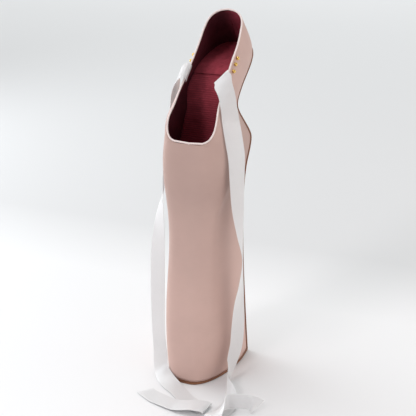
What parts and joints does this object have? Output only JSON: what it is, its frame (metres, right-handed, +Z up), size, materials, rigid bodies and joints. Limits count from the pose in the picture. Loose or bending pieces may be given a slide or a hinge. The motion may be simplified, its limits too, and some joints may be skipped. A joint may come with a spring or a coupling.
{
  "type": "platform ballet heel",
  "caption": "Very tall heelless platform ballet shoe with a leather upper, leather outsole, suede insole, ball studs and hanging ribbon ties.",
  "frame": {"origin": "on the floor, under the middle of the flat base of the outsole", "axes": "+Z up, the toe points to -Y and the heel to +Y, +X is the lateral side and -X the medial side of this left shoe"},
  "size_m": [0.1913, 0.2656, 0.5253],
  "materials": {
    "blush_leather": "smooth matte blush pink leather",
    "sole_leather": "waxed brown sole leather",
    "block_board": "unfinished light board",
    "wine_suede": "napped wine red suede",
    "polished_gold": "polished gold colour",
    "white_satin": "white satin ribbon"
  },
  "bodies": {
    "root": {"upper": "blush_leather", "outsole": "sole_leather", "platform_block": "block_board", "insole": "wine_suede", "heel_sock": "wine_suede", "stud_lateral_1": "polished_gold", "stud_lateral_2": "polished_gold", "stud_lateral_3": "polished_gold", "stud_medial_1": "polished_gold", "stud_medial_2": "polished_gold", "stud_medial_3": "polished_gold", "ribbon_lateral": "white_satin", "ribbon_medial": "white_satin"}
  },
  "joints": []
}
